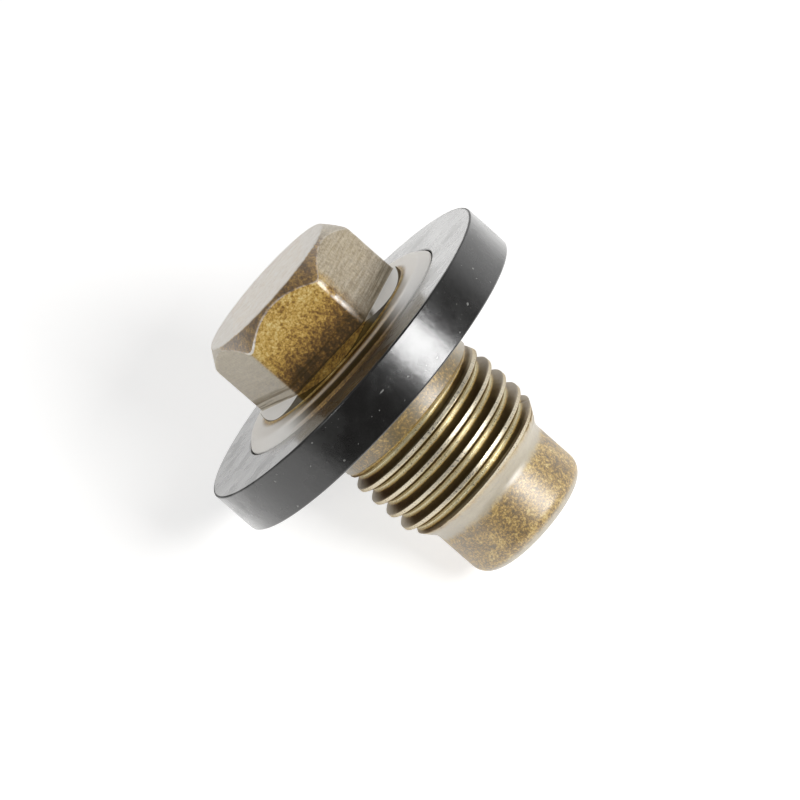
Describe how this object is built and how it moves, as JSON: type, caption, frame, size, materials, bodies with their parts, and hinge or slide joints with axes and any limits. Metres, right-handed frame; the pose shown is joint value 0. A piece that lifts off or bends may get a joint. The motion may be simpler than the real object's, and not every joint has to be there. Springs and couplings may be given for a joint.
{
  "type": "oil drain plug",
  "caption": "Flanged hexagon-head screw plug with pilot point and moulded rubber sealing ring, closes the drain hole of an oil pan.",
  "frame": {"origin": "centre of the head's end face, which is the lowest face", "axes": "+Z along the screw's axis from the head to the pilot point; one corner of the hexagon is on +X"},
  "size_m": [0.0288, 0.0288, 0.0276],
  "materials": {
    "zinc_plated_steel": "yellow-chromated zinc plating, worn",
    "black_rubber": "satin moulded rubber"
  },
  "bodies": {
    "root": {"plug_body": "zinc_plated_steel", "sealing_gasket": "black_rubber"}
  },
  "joints": []
}
